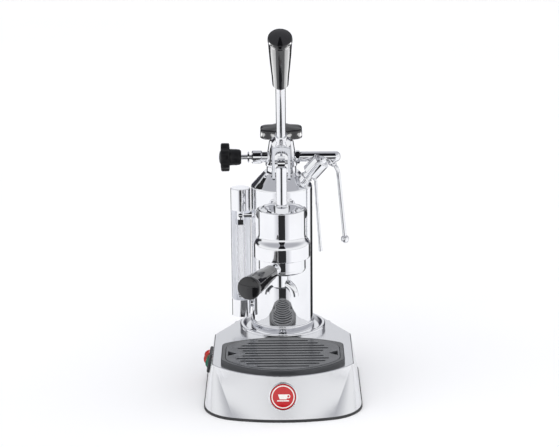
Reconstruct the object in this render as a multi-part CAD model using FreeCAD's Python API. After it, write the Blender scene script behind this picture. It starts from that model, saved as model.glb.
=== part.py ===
import FreeCAD, Part
import os
from math import sin, cos, radians, sqrt, atan2, acos, degrees, pi

V = FreeCAD.Vector
os.makedirs("parts", exist_ok=True)

# ---------------------------------------------------------------- driving dimensions (mm)
# +Z up, +X to the user's right, +Y away from the user; origin under the middle of the base.
BASE_HALF_W, BASE_FRONT, BASE_BACK = 100.0, -145.0, 145.0   # outline at the table
TOP_HALF_W, TOP_FRONT, TOP_BACK = 89.0, -132.0, 127.0       # outline of the top plate
EDGE_H, BASE_H, SHEET = 3.5, 56.0, 1.6                      # rubber edging, top plate height, steel

BOILER_Y, BOILER_R, BOILER_WALL = 61.0, 40.0, 2.0           # boiler axis, outside radius
BOILER_FOOT_Z, SHOULDER_Z, NECK_Z = 50.0, 251.0, 269.8      # foot, start and end of the shoulder
NECK_R, FLANGE_R, FLANGE_TOP = 19.3, 56.5, 63.0
CONE_Z0, CONE_Z1, CONE_R0, CONE_R1 = 277.4, 310.8, 20.6, 15.6
PORT_Z = 288.3                                              # steam valve and steam pipe height
CAP_R, CAP_Z0, CAP_Z1, FILL_R = 29.5, 315.2, 327.6, 11.0    # filler cap and filler bore

GROUP_Y, GROUP_R, BELL_R = -41.0, 29.5, 35.5                # group axis and its two radii
GROUP_Z0, BELL_Z, BARREL_Z, GROUP_Z1 = 184.0, 199.6, 213.4, 246.0
SLEEVE_R, PISTON_R, ROD_R = 24.0, 23.6, 6.75
JOIN_Z = 228.0                                              # height of the boiler to group joint

LEVER_ANGLE = 51.0                                          # lever above the horizontal at rest
PIVOT_Y, PIVOT_Z, CRANK = -20.0, 284.0, 26.0                # fulcrum, and fulcrum to piston pin
FORK_IN, FORK_OUT, PIN_R = 8.0, 11.6, 3.0
LEVER_ROD_R, GRIP_START, GRIP_L, GRIP_R = 6.0, 173.0, 86.0, 14.4

PF_R, PF_Z0, PF_Z1 = 29.7, 165.0, 183.6                     # portafilter bowl
HANDLE_TURN, HANDLE_RISE, HANDLE_Z = 18.5, 2.5, 173.0       # its handle, left of straight ahead
SPOUT_OFF, SPOUT_R, SPOUT_Z0 = 9.0, 10.0, 145.0

GLASS_X, GLASS_Y, GUARD_R, GUARD_Z0, GUARD_Z1 = -53.9, 58.0, 12.9, 75.0, 248.5
TRAY_HALF_W, TRAY_FRONT, TRAY_BACK, TRAY_TOP = 78.0, -128.0, 2.4, 61.5
GRATE_HALF_W, GRATE_FRONT, GRATE_BACK, LEDGE_Z = 72.5, -123.4, -2.6, 58.8
SLOT_COUNT, SLOT_PITCH, SLOT_W = 11, 9.7, 4.0
SWITCH_Y, SWITCH_Z, GLAND_Z, ROCKER_TIP = -6.0, 34.0, 24.0, 10.0
EPS = 0.02


# ---------------------------------------------------------------- helpers
def save(name, shape):
    shape.exportStep("parts/%s.step" % name)


def cyl(r, h, p=(0, 0, 0), d=(0, 0, 1)):
    return Part.makeCylinder(r, h, V(*p), V(*d))


def tube(r_out, r_in, h, p=(0, 0, 0), d=(0, 0, 1)):
    n = V(*d)
    n.normalize()
    q = V(*p) - n * 1.0
    return cyl(r_out, h, p, d).cut(Part.makeCylinder(r_in, h + 2.0, q, n))


def block(x0, x1, y0, y1, z0, z1):
    return Part.makeBox(x1 - x0, y1 - y0, z1 - z0, V(x0, y0, z0))


def orient(shape, at=(0, 0, 0), to=(0, 0, 1)):
    """Moves a shape built along +Z so that +Z points along `to` and its origin is `at`."""
    s = shape.copy()
    s.Placement = FreeCAD.Placement(V(*at), FreeCAD.Rotation(V(0, 0, 1), V(*to)))
    return s


def turned(profile, at=(0, 0, 0), to=(0, 0, 1)):
    """Solid of revolution. Entries: (r, z) a line, (rm, zm, r, z) an arc, ("dome", z) a cap to the axis."""
    pts = [V(profile[0][0], 0, profile[0][1])]
    edges = []
    for item in list(profile[1:]) + [profile[0]]:
        if item[0] == "dome":
            r0, z0, z1 = pts[-1].x, pts[-1].z, item[1]
            zc = (z1 * z1 - z0 * z0 - r0 * r0) / (2.0 * (z1 - z0))
            R = z1 - zc
            h = 0.5 * atan2(r0, z0 - zc)
            item = (R * sin(h), zc + R * cos(h), 0.0, z1)
        end = V(item[-2], 0, item[-1])
        if (end - pts[-1]).Length < 1e-6:
            continue
        if len(item) == 4:
            edges.append(Part.Arc(pts[-1], V(item[0], 0, item[1]), end).toShape())
        else:
            edges.append(Part.makeLine(pts[-1], end))
        pts.append(end)
    face = Part.Face(Part.Wire(edges))
    return orient(face.revolve(V(0, 0, 0), V(0, 0, 1), 360), at, to)


def barrel(hw, front, r_front, c_front, back, r_back, c_back, z):
    """Closed outline with straight sides, an arc at each end and four rounded corners."""
    def corner(y_end, r, c, s):
        cy = y_end - s * r
        dx, dr = hw - c, r - c
        yc = cy + s * sqrt(dr * dr - dx * dx)
        t = V(dx, yc - cy, 0)
        t.normalize()
        tip = V(0, cy, z) + t * r
        n = V(1, 0, 0) + t
        n.normalize()
        return tip, V(dx, yc, z) + n * c, V(hw, yc, z)
    f_tip, f_mid, f_end = corner(front, r_front, c_front, -1)
    b_tip, b_mid, b_end = corner(back, r_back, c_back, 1)
    m = lambda p: V(-p.x, p.y, p.z)
    return Part.Wire([
        Part.Arc(m(f_tip), V(0, front, z), f_tip).toShape(),
        Part.Arc(f_tip, f_mid, f_end).toShape(),
        Part.makeLine(f_end, b_end),
        Part.Arc(b_end, b_mid, b_tip).toShape(),
        Part.Arc(b_tip, V(0, back, z), m(b_tip)).toShape(),
        Part.Arc(m(b_tip), m(b_mid), m(b_end)).toShape(),
        Part.makeLine(m(b_end), m(f_end)),
        Part.Arc(m(f_end), m(f_mid), m(f_tip)).toShape()])


def egg(hw, front, r_front, corner, y_turn, back, z, inset=0.0):
    """Base outline: bowed front, straight sides, then straight lines to a round back."""
    hw, front, back = hw - inset, front + inset, back - inset
    r, c = r_front - inset, corner - inset
    cy = front + r
    dx, dr = hw - c, r - c
    yc = cy - sqrt(dr * dr - dx * dx)
    t = V(dx, yc - cy, 0)
    t.normalize()
    tip = V(0, cy, z) + t * r
    n = V(1, 0, 0) + t
    n.normalize()
    mid, end = V(dx, yc, z) + n * c, V(hw, yc, z)
    knee = V(hw, y_turn, z)
    rb = back - BOILER_Y
    d = sqrt(hw * hw + (y_turn - BOILER_Y) ** 2)
    a = atan2(y_turn - BOILER_Y, hw) + acos(rb / d)
    tb = V(rb * cos(a), BOILER_Y + rb * sin(a), z)
    m = lambda p: V(-p.x, p.y, p.z)
    return Part.Wire([
        Part.Arc(m(tip), V(0, front, z), tip).toShape(),
        Part.Arc(tip, mid, end).toShape(),
        Part.makeLine(end, knee),
        Part.makeLine(knee, tb),
        Part.Arc(tb, V(0, back, z), m(tb)).toShape(),
        Part.makeLine(m(tb), m(knee)),
        Part.makeLine(m(knee), m(end)),
        Part.Arc(m(end), m(mid), m(tip)).toShape()])


def prism(wire, h):
    return Part.Face(wire).extrude(V(0, 0, h))


def low_outline(z, inset=0.0):
    return egg(BASE_HALF_W, BASE_FRONT, 230.0, 52.0, 45.0, BASE_BACK, z, inset)


def high_outline(z, inset=0.0):
    return egg(TOP_HALF_W, TOP_FRONT, 109.0, 12.0, 31.0, TOP_BACK, z, inset)


def bent_tube(points, r, bend, r_in=0.0):
    """Round tube along straight runs joined by bends of one radius."""
    pts = [V(*p) for p in points]
    edges, last = [], pts[0]
    for i in range(1, len(pts) - 1):
        a, b = pts[i - 1] - pts[i], pts[i + 1] - pts[i]
        a.normalize()
        b.normalize()
        half = a.getAngle(b) / 2.0
        cut = bend / (sin(half) / cos(half))
        p, q = pts[i] + a * cut, pts[i] + b * cut
        n = a + b
        n.normalize()
        mid = pts[i] + n * (bend / sin(half) - bend)
        edges += [Part.makeLine(last, p), Part.Arc(p, mid, q).toShape()]
        last = q
    edges.append(Part.makeLine(last, pts[-1]))
    spine = Part.Wire(edges)
    d0 = pts[1] - pts[0]

    def sweep(radius):
        ring = Part.Wire([Part.Circle(pts[0], d0, radius).toShape()])
        return spine.makePipeShell([ring], True, True)
    s = sweep(r)
    return s.cut(sweep(r_in)) if r_in else s


def star_knob(r, h, lobes, bite, crown, turn=0.0):
    """Moulded hand knob: rounded disc with scallops bitten out of its edge."""
    k = turned([(0, 0), (r - 2.2, 0), (r - 0.5, 0.6, r, 2.2), (r, h - 2.6),
                (r - 0.6, h - 0.8, r - 2.6, h), ("dome", h + crown)])
    rb = 11.0
    for i in range(lobes):
        a = radians(turn) + 2 * pi * (i + 0.5) / lobes
        k = k.cut(cyl(rb, h + crown + 4, ((r + rb - bite) * cos(a), (r + rb - bite) * sin(a), -2)))
    return k


def grip(bore_r, bore_l):
    """Turned phenolic handle, slim end at the origin."""
    L, R = GRIP_L, GRIP_R
    g = turned([(bore_r, 0), (6.6, 0), (9.6, 4.2), (10.4, 20.0), (12.6, 0.6 * L, 13.9, L - 8.0),
                (R, L - 4.6, R - 0.25, L - 1.6), (R - 0.8, L - 0.5, R - 2.0, L),
                ("dome", L + 2.6), (0, bore_l), (bore_r, bore_l)])
    return g


def lever_place(shape):
    """Lever parts are built upright on the fulcrum and leaned over towards the user."""
    s = shape.copy()
    s.Placement = FreeCAD.Placement(V(0, PIVOT_Y, PIVOT_Z), FreeCAD.Rotation(V(1, 0, 0), 90.0 - LEVER_ANGLE))
    return s


def handle_axes():
    a, t = radians(HANDLE_TURN), radians(HANDLE_RISE)
    along = V(-sin(a) * cos(t), -cos(a) * cos(t), sin(t))
    side = V(cos(a), -sin(a), 0)
    return along, side


# ---------------------------------------------------------------- base
def base_edging():
    ring = prism(low_outline(0.0), EDGE_H).cut(prism(low_outline(-1.0, 9.0), EDGE_H + 2))
    return ring


def tray_well(z0, z1):
    w = barrel(TRAY_HALF_W - 8.0, TRAY_FRONT + 8.0, 84.0, 16.0, TRAY_BACK - 8.0, 140.0, 16.0, z0)
    return prism(w, z1 - z0)


def post_places():
    return [(sx * 60.0, y) for sx in (-1, 1) for y in (-106.0, 88.0)]


def base_shell():
    """Drawn steel housing: sloping wall and top plate, with the tray well and boiler hole."""
    outer = Part.makeLoft([low_outline(EDGE_H, 0.8), high_outline(BASE_H)], True, True)
    inner = Part.makeLoft([low_outline(EDGE_H, 0.8 + SHEET), high_outline(BASE_H - SHEET, SHEET)], True, True)
    rim = [e for e in outer.Edges if min(v.Z for v in e.Vertexes) > BASE_H - 0.01]
    outer = outer.makeFillet(1.2, rim)
    shell = outer.cut(inner)
    shell = shell.cut(tray_well(BASE_H - 5, BASE_H + 5))
    shell = shell.cut(cyl(BOILER_R + 1.2, 10, (0, BOILER_Y, BASE_H - 5)))
    shell = shell.cut(switch_local(block(-8, 8, -15.2, 15.2, -10.4, 10.4)))
    at, to = back_wall(GLAND_Z)
    shell = shell.cut(turned([(0, -9), (6.1, -9), (6.1, 9), (0, 9)], at, to))
    for x, y in post_places():
        post = tube(4.2, 1.6, BASE_H - SHEET - 5.2, (x, y, 5.2))
        shell = shell.fuse(post.cut(tray_well(0, BASE_H)))
    return shell


def base_plate():
    plate = prism(low_outline(EDGE_H, 0.8 + SHEET + 1.3), 1.5)
    for x, y in post_places():
        plate = plate.cut(cyl(2.2, 6, (x, y, 1)))
    for i in range(7):
        y = -30.0 + 9.0 * i
        plate = plate.cut(block(-26, 26, y - 1.5, y + 1.5, 1, 7))
    return plate


def plate_screws():
    screws = [turned([(0, 1.3), (3.2, 1.3), (3.6, 2.2, 3.4, EDGE_H), (1.55, EDGE_H), (1.55, 14.0), (0, 14.0)],
                     (x, y, 0)) for x, y in post_places()]
    return Part.makeCompound(screws)


def drip_tray():
    """Moulded tray: broad rim standing on the top plate over a shallow basin."""
    rim_wire = barrel(TRAY_HALF_W, TRAY_FRONT, 92.0, 9.0, TRAY_BACK, 140.0, 11.0, BASE_H)
    rim = prism(rim_wire, TRAY_TOP - BASE_H)
    top_edges = [e for e in rim.Edges if min(v.Z for v in e.Vertexes) > TRAY_TOP - 0.01]
    rim = rim.makeFillet(1.6, top_edges)
    basin = barrel(TRAY_HALF_W - 9.0, TRAY_FRONT + 9.0, 83.0, 15.0, TRAY_BACK - 9.0, 139.0, 15.0, 31.0)
    body = rim.fuse(prism(basin, BASE_H - 31.0))
    hollow = barrel(TRAY_HALF_W - 11.2, TRAY_FRONT + 11.2, 81.0, 13.0, TRAY_BACK - 11.2, 137.0, 13.0, 33.0)
    body = body.cut(prism(hollow, 40.0))
    body = body.cut(prism(grate_wire(LEDGE_Z, -0.35), 10.0))
    return body


def grate_wire(z, inset=0.0):
    return barrel(GRATE_HALF_W - inset, GRATE_FRONT + inset, 86.0 - inset, 26.0 - inset,
                  GRATE_BACK - inset, 112.0 - inset, 28.0 - inset, z)


def slot_half_length(k):
    if abs(k) <= 1:
        return 48.0 + 3.5 * abs(k)
    return 62.0 * sqrt(1.0 - (k / 5.9) ** 2)


def drip_grate():
    """Slotted grate with a finger notch at each end."""
    g = prism(grate_wire(LEDGE_Z), 3.2)
    top = [e for e in g.Edges if min(v.Z for v in e.Vertexes) > LEDGE_Z + 3.19]
    g = g.makeFillet(0.9, top)
    yc = 0.5 * (GRATE_FRONT + GRATE_BACK)
    half = SLOT_COUNT // 2
    for k in range(-half, half + 1):
        L, y, r = slot_half_length(k), yc + k * SLOT_PITCH, SLOT_W / 2.0
        z = LEDGE_Z - 1
        g = g.cut(block(-L + r, L - r, y - r, y + r, z, z + 8))
        g = g.cut(cyl(r, 8, (-L + r, y, z))).cut(cyl(r, 8, (L - r, y, z)))
    for s in (-1, 1):
        tri = Part.makePolygon([V(s * 69.5, yc - 9, 0), V(s * 58.0, yc, 0), V(s * 69.5, yc + 9, 0), V(s * 69.5, yc - 9, 0)])
        g = g.cut(Part.Face(tri).extrude(V(0, 0, 100)))
    return g


def front_wall_place(shape, z):
    """Puts a shape built on +Z flat against the front wall at height z."""
    lean = degrees(atan2(TOP_FRONT - BASE_FRONT, BASE_H - EDGE_H))
    f = (BASE_H - z) / (BASE_H - EDGE_H)
    y = TOP_FRONT + f * (BASE_FRONT + 0.8 - TOP_FRONT)
    a = radians(lean)
    return orient(shape, (0, y, z), (0, -cos(a), sin(a)))


def badge_parts():
    """Enamelled medallion: chromed cup, red disc, and a plain cup-and-saucer inlay."""
    z = 31.5
    bezel = turned([(0, -8.0), (18.0, -8.0), (18.0, 2.0), (17.4, 3.2, 16.2, 3.4), (15.9, 2.2), (0, 2.2)])
    disc = turned([(0, 2.2), (15.9, 2.2), (15.6, 2.9), ("dome", 3.7)])
    ring = tube(14.2, 12.9, 1.6, (0, 0, 2.6))
    cup = Part.makePolygon([V(-6.2, 3.2, 0), V(6.2, 3.2, 0), V(4.2, -2.8, 0), V(-4.2, -2.8, 0), V(-6.2, 3.2, 0)])
    cup = Part.Face(cup).extrude(V(0, 0, 1.4))
    cup.translate(V(0, 0, 2.9))
    ear = tube(2.5, 1.4, 1.4, (6.4, 0.8, 2.9)).cut(cup)
    saucer = block(-7.4, 7.4, -5.4, -4.0, 2.9, 4.3)
    # the inlay is let into the enamel and stands 0.1 mm proud of it
    lens = turned([(0, 2.6), (15.9, 2.6), (15.6, 3.0), ("dome", 3.8)])
    inlay = Part.makeCompound([s.common(lens) for s in (ring, cup.fuse(ear), saucer)])
    for s in inlay.Solids:
        disc = disc.cut(s)
    wall = Part.makeLoft([low_outline(EDGE_H, 0.8), high_outline(BASE_H)], True, True)
    return front_wall_place(bezel, z).cut(wall), front_wall_place(disc, z), front_wall_place(inlay, z)


def switch_local(shape):
    """Switch parts are built at the wall with -X outward, then leaned with the side wall."""
    f = (BASE_H - SWITCH_Z) / (BASE_H - EDGE_H)
    x = -(TOP_HALF_W + f * (BASE_HALF_W - 0.8 - TOP_HALF_W))
    s = shape.copy()
    s.rotate(V(0, 0, 0), V(0, 1, 0), degrees(atan2(BASE_HALF_W - 0.8 - TOP_HALF_W, BASE_H - EDGE_H)))
    s.translate(V(x, SWITCH_Y, SWITCH_Z))
    return s


def rocker_window(yc, r):
    return block(-9, 9, yc - 7.0, yc + 7.0, -9.2, 9.2)


def switch_housing():
    body = block(-3.6, -0.05, -17.0, 17.0, -12.2, 12.2)
    body = body.makeFillet(1.6, [e for e in body.Edges if abs(e.BoundBox.XMin + 3.6) < 1e-6 and abs(e.BoundBox.XMax + 3.6) < 1e-6])
    body = body.fuse(block(-0.1, 17.0, -15.0, 15.0, -10.2, 10.2))
    for yc in (-7.4, 7.4):
        body = body.cut(block(-9, 11.0, yc - 6.8, yc + 6.8, -8.8, 8.8))
    return switch_local(body)


def rocker(yc, bulge, tip):
    """Rocker key: barrel-fronted block resting tipped to one side of its pivot line."""
    key = cyl(8.55, 13.0, (0, yc - 6.5, 0), (0, 1, 0)).cut(block(3.0, 9, yc - 7, yc + 7, -9, 9))
    key.rotate(V(0, 0, 0), V(0, 1, 0), tip)
    key.translate(V(2.0 - bulge, 0, 0))
    return switch_local(key)


def back_wall(z):
    f = (BASE_H - z) / (BASE_H - EDGE_H)
    y = TOP_BACK + f * (BASE_BACK - 0.8 - TOP_BACK)
    a = atan2(BASE_BACK - 0.8 - TOP_BACK, BASE_H - EDGE_H)
    return (0, y, z), (0, cos(a), sin(a))


def cord_gland():
    """Flanged bush in the rear wall where the supply cord would enter."""
    at, to = back_wall(GLAND_Z)
    flange = turned([(6.0, -3.0), (9.5, -3.0), (9.5, 3.0), (7.2, 6.5), (6.0, 14.0), (4.0, 14.0), (4.0, 6.0), (6.0, 6.0)], at, to)
    wall = Part.makeLoft([low_outline(EDGE_H, 0.8), high_outline(BASE_H)], True, True)
    bush = turned([(4.6, -8.0), (6.0, -8.0), (6.0, 8.0), (4.0, 8.0), (4.0, 5.0), (4.6, 4.4)], at, to)
    return flange.cut(wall).fuse(bush)


def terminal_block():
    b = block(14, 54, 58, 80, 5.0, 24)
    for i in range(4):
        b = b.cut(cyl(2.2, 12, (19.0 + 10.0 * i, 64, 14))).cut(cyl(2.2, 12, (19.0 + 10.0 * i, 75, 14)))
    return b


# ---------------------------------------------------------------- boiler
def boiler_shell():
    R, w = BOILER_R, BOILER_WALL
    return turned([(R, BOILER_FOOT_Z), (R, SHOULDER_Z - 1.5), (R - 0.4, SHOULDER_Z, R - 1.4, SHOULDER_Z + 1.4),
                   (22.7, NECK_Z), (14.0, NECK_Z), (14.0, NECK_Z - w), (22.0, NECK_Z - w),
                   (R - w, SHOULDER_Z - 1.0), (R - w, BOILER_FOOT_Z)], (0, BOILER_Y, 0)) \
        .cut(cyl(4.0, 30, (0, BOILER_Y - BOILER_R - 5, JOIN_Z), (0, 1, 0))) \
        .cut(cyl(2.5, 30, (-BOILER_R - 5, GLASS_Y, 212.0), (1, 0, 0))) \
        .cut(cyl(2.5, 30, (-BOILER_R - 5, GLASS_Y, 90.0), (1, 0, 0))) \
        .cut(cyl(3.0, 24, tuple(V(*SV_AT) - V(*SV_TO) * 12.0), SV_TO))


def boiler_flange():
    R = FLANGE_R
    return turned([(BOILER_R, BASE_H), (R, BASE_H), (R, BASE_H + 3.4), (R - 0.9, BASE_H + 3.9),
                   (R - 0.9, BASE_H + 4.4), (R, BASE_H + 5.0), (R - 0.3, FLANGE_TOP - 0.6, R - 1.6, FLANGE_TOP),
                   (R - 3.4, FLANGE_TOP), (R - 4.6, FLANGE_TOP - 0.4, R - 5.2, FLANGE_TOP - 1.2),
                   (48.0, 59.6, 43.4, 59.2), (BOILER_R, 59.2)], (0, BOILER_Y, 0))


def foot_ring():
    return turned([(BOILER_R, 59.2), (41.9, 59.2), (41.9, 67.6), (41.6, 68.9, 40.6, 69.3), (BOILER_R, 69.3)],
                  (0, BOILER_Y, 0))


def lock_ring():
    """Large hexagonal ring that clamps the boiler to the underside of the top plate."""
    h = Part.makePolygon([V(50 * cos(pi * k / 3), BOILER_Y + 50 * sin(pi * k / 3), 47.0) for k in range(7)])
    return Part.Face(h).extrude(V(0, 0, BASE_H - SHEET - 47.0)).cut(cyl(BOILER_R, 20, (0, BOILER_Y, 40)))


def heating_element():
    """Closing plate of the boiler with its sheathed hairpin element brazed through it."""
    loop = bent_tube([(-14, BOILER_Y, 42), (-14, BOILER_Y, 128), (14, BOILER_Y, 128), (14, BOILER_Y, 42)], 4.0, 13.9)
    return cyl(BOILER_R - BOILER_WALL, 4.0, (0, BOILER_Y, BOILER_FOOT_Z)).fuse(loop)


def neck_casting():
    """Tapered turret on the shoulder, bored for filling, with a port each side."""
    n = turned([(FILL_R, NECK_Z), (NECK_R, NECK_Z), (NECK_R, 276.2), (NECK_R + 0.2, 277.0, CONE_R0, CONE_Z0 + 0.6),
                (CONE_R0, CONE_Z0 + 2.6), (CONE_R1, CONE_Z1), (FILL_R, CONE_Z1)], (0, BOILER_Y, 0))
    for s in (-1, 1):
        n = n.cut(cyl(7.0, 30, (s * 14.0, BOILER_Y, PORT_Z), (s, 0, 0)))
        n = n.cut(cyl(3.0, 30, (0, BOILER_Y, PORT_Z), (s, 0, 0)))
    return n


def cap_knob():
    k = star_knob(CAP_R, CAP_Z1 - CAP_Z0, 6, 4.0, 1.6, 30.0)
    hub = turned([(0, -3.6), (14.8, -3.6), (15.6, -2.4), (17.5, 0.4), (0, 0.4)])
    k = k.fuse(hub)
    return orient(k.cut(cyl(7.0, 8.0, (0, 0, -3.7))), (0, BOILER_Y, CAP_Z0))


def cap_plug():
    """Brass plug: a stem moulded into the knob and a plain shank standing for the thread."""
    z = CAP_Z0
    return turned([(0, 288.0), (FILL_R - 0.25, 288.0), (FILL_R - 0.06, 289.0), (FILL_R - 0.06, CONE_Z1 + 0.0),
                   (6.95, CONE_Z1 + 0.0), (6.95, z + 4.0), (0, z + 4.0)], (0, BOILER_Y, 0)) \
        .cut(cyl(6.0, 15, (0, BOILER_Y, 287)))


def cap_seal():
    return tube(14.6, 6.96, 0.75, (0, BOILER_Y, CONE_Z1 + 0.02))


# ---------------------------------------------------------------- steam valve (left) and wand (right)
def steam_knob():
    k = star_knob(18.7, 11.2, 6, 3.2, 0.4)
    k = k.fuse(turned([(0, -15.2), (8.2, -15.2), (10.2, -12.8, 10.6, -9.0), (10.6, 0.2), (0, 0.2)]))
    return orient(k.cut(cyl(3.3, 20, (0, 0, -15.3))), (-67.4, BOILER_Y, PORT_Z), (-1, 0, 0))


def knob_button():
    b = turned([(0, 0), (8.2, 0), (8.0, 0.8), ("dome", 1.9)])
    return orient(b, (-67.4 - 11.65, BOILER_Y, PORT_Z), (-1, 0, 0))


def valve_stem():
    s = turned([(0, 0), (3.3, 0), (3.3, 46.0), (1.2, 50.0), (0, 50.0)])
    s = s.fuse(turned([(3.25, 21.2), (7.3, 21.2), (7.3, 23.4), (3.25, 23.4)]))
    return orient(s, (-65.0, BOILER_Y, PORT_Z), (1, 0, 0))


def valve_body():
    """Turned bonnet screwed into the neck; the stem runs in its bore."""
    b = turned([(3.36, 0), (7.2, 0), (8.7, 1.5), (8.7, 11.8), (7.9, 12.9), (7.0, 13.4), (7.0, 24.0),
                (3.36, 24.0)])
    return orient(b, (-38.4, BOILER_Y, PORT_Z), (1, 0, 0)).cut(
        cyl(3.36, 60, (-45, BOILER_Y, PORT_Z), (1, 0, 0)))


def pipe_nut():
    h = Part.makePolygon([V(9.3 * cos(pi * k / 3 + pi / 6), 9.3 * sin(pi * k / 3 + pi / 6), 0) for k in range(7)])
    nut = Part.Face(h).extrude(V(0, 0, 5.2)).common(turned([(0, 0), (8.4, 0), (9.4, 1.0), (9.4, 4.2), (8.4, 5.2), (0, 5.2)]))
    return orient(nut, (18.6, BOILER_Y, PORT_Z), (1, 0, 0)).cut(cyl(7.0, 20, (14, BOILER_Y, PORT_Z), (1, 0, 0))) \
        .cut(turned([(0, 277), (CONE_R0, CONE_Z0 + 2.6), (CONE_R1, CONE_Z1), (0, CONE_Z1)], (0, BOILER_Y, 0)))


SWIVEL_AT = (60.0, BOILER_Y, PORT_Z)                        # swivel axis leaves the pipe here
SWIVEL_TO = (0.62, -0.30, -0.725)


def along_swivel(t):
    n = V(*SWIVEL_TO)
    n.normalize()
    return V(*SWIVEL_AT) + n * t


def steam_pipe():
    """Arm from the neck, closed by a rounded end, with the wand's swivel collar brazed in."""
    p = turned([(4.4, 0), (6.9, 0), (6.9, 55.6), ("dome", 62.5), (0, 58.0), (4.4, 56.0)])
    p = orient(p, (14.4, BOILER_Y, PORT_Z), (1, 0, 0))
    collar = turned([(0, 4.0), (4.9, 4.0), (4.9, 7.6), (5.5, 8.2), (5.5, 11.0), (4.9, 11.8), (0, 11.8)], SWIVEL_AT, SWIVEL_TO)
    return p.fuse(collar).cut(turned([(0, 4.4), (3.26, 4.4), (3.26, 13.0), (0, 13.0)], SWIVEL_AT, SWIVEL_TO))


def wand_points():
    return [tuple(along_swivel(11.0)), tuple(along_swivel(21.5)), (82.0, BOILER_Y - 9.0, 184.0)]


def steam_wand():
    """Wand: a spigot that turns in the collar, a shoulder, and the bent outlet tube."""
    spigot = turned([(0, 5.0), (3.2, 5.0), (3.2, 11.9), (3.9, 12.2), (3.9, 14.0), (2.6, 15.0), (0, 15.0)], SWIVEL_AT, SWIVEL_TO)
    t = bent_tube(wand_points(), 2.5, 16.0)
    bore = turned([(0, 4.0), (1.4, 4.0), (1.4, 15.5), (0, 15.5)], SWIVEL_AT, SWIVEL_TO)
    return spigot.fuse(t).cut(bore)


def wand_tip():
    p = wand_points()
    d = V(*p[2]) - V(*p[1])
    d.normalize()
    t = Part.makeSphere(5.2, V(0, 0, 4.6)).common(cyl(6.0, 9.4, (0, 0, 0.2))).fuse(cyl(2.6, 2.0, (0, 0, 0)))
    t = t.cut(cyl(0.8, 6, (0, 0, 5)))
    return orient(t, p[2], (d.x, d.y, d.z))


# ---------------------------------------------------------------- safety valve
SV_AT, SV_TO = (28.5, BOILER_Y - 13.3, 260.2), (0.627, -0.218, 0.747)   # foot and direction
B0, B1 = 14.5, 37.4                                         # barrel's start and end along it


def shoulder_solid():
    return turned([(0, SHOULDER_Z - 6), (BOILER_R, SHOULDER_Z - 6), (BOILER_R, SHOULDER_Z - 1.5),
                   (BOILER_R - 0.4, SHOULDER_Z, BOILER_R - 1.4, SHOULDER_Z + 1.4), (22.7, NECK_Z), (0, NECK_Z)],
                  (0, BOILER_Y, 0))


def safety_body():
    """Relief valve on the shoulder: hexagon foot, slim neck, fat barrel hollow for its spring."""
    s = turned([(3.0, -3.0), (8.4, -3.0), (8.4, 6.0), (7.6, 6.8), (6.6, 7.0), (6.6, B0 - 0.6), (10.8, B0), (11.6, B0 + 0.8),
                (11.6, B1 - 0.8), (11.0, B1), (9.2, B1), (9.2, B0 + 3.0), (3.0, B0 + 3.0)], SV_AT, SV_TO)
    return s.cut(shoulder_solid())


def safety_cap():
    """Domed end plug of the relief valve."""
    return turned([(0, B1 - 3.0), (9.2, B1 - 3.0), (9.2, B1), (8.6, B1 + 0.8), (6.0, B1 + 0.8), ("dome", B1 + 5.6)], SV_AT, SV_TO)


def relief_poppet():
    """Sealing ball on its seat, and the plain sleeve that stands for the spring above it."""
    n = V(*SV_TO)
    n.normalize()
    ball = Part.makeSphere(3.6, V(*SV_AT) + n * (B0 + 5.2))
    sleeve = turned([(4.0, B0 + 9.4), (6.9, B0 + 9.4), (6.9, B1 - 3.4), (4.0, B1 - 3.4)], SV_AT, SV_TO)
    return Part.makeCompound([ball, sleeve])


def drain_points():
    n = V(*SV_TO)
    n.normalize()
    p = V(*SV_AT) + n * 11.0
    return [tuple(p), (44.0, BOILER_Y - 20.0, 262.0), (45.4, BOILER_Y - 19.0, 234.0), (49.8, BOILER_Y - 19.0, 172.0)]


def discharge_tube():
    """Drain from the relief valve's neck, hanging down beside the boiler."""
    t = bent_tube(drain_points(), 2.0, 4.0)
    valve = turned([(0, -3.0), (8.4, -3.0), (8.4, 6.0), (7.6, 6.8), (6.6, 7.0), (6.6, B0 - 0.6), (10.8, B0), (11.6, B0 + 0.8),
                    (11.6, B1), (0, B1)], SV_AT, SV_TO)
    return t.cut(valve)


def discharge_tip():
    p = drain_points()
    d = V(*p[3]) - V(*p[2])
    d.normalize()
    return cyl(2.4, 6.0, p[3], (d.x, d.y, d.z))


# ---------------------------------------------------------------- sight glass
def gauge_fitting(z, up):
    """Elbow from the boiler wall to the gauge glass, with its gland nut."""
    s = 1 if up else -1
    d = (0, 0, -s)
    arm = cyl(4.6, 18.0, (GLASS_X + 1.0, GLASS_Y, z), (1, 0, 0))
    head = cyl(6.0, 11.0, (GLASS_X, GLASS_Y, z + s * 5.5), d)
    nut = Part.makePolygon([V(7.0 * cos(pi * k / 3), 7.0 * sin(pi * k / 3), 0) for k in range(7)])
    nut = orient(Part.Face(nut).extrude(V(0, 0, 7.0)), (GLASS_X, GLASS_Y, z - s * 5.5), d)
    f = arm.fuse(head).fuse(nut)
    f = f.cut(cyl(5.0, 12.5, (GLASS_X, GLASS_Y, z - s * 0.0), d))
    f = f.cut(cyl(2.5, 30.0, (GLASS_X, GLASS_Y, z), (1, 0, 0)))
    boiler = cyl(BOILER_R, 400, (0, BOILER_Y, 0))
    f = f.cut(boiler)
    if up:
        f = f.fuse(cyl(2.4, GUARD_Z1 - 1.6 - (z + 5.5), (GLASS_X, GLASS_Y, z + 5.5)))
        bleed = turned([(0, 0), (3.4, 0), (3.4, 3.0), (2.8, 3.6), (0, 3.6)]).cut(block(-4, 4, -0.5, 0.5, 2.2, 5))
        f = f.fuse(orient(bleed, (GLASS_X, GLASS_Y - 5.6, z + 1.0), (0, -1, 0)))
    else:
        f = f.fuse(cyl(2.4, 8.0, (GLASS_X, GLASS_Y, z - 13.5)))
    return f


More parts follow.
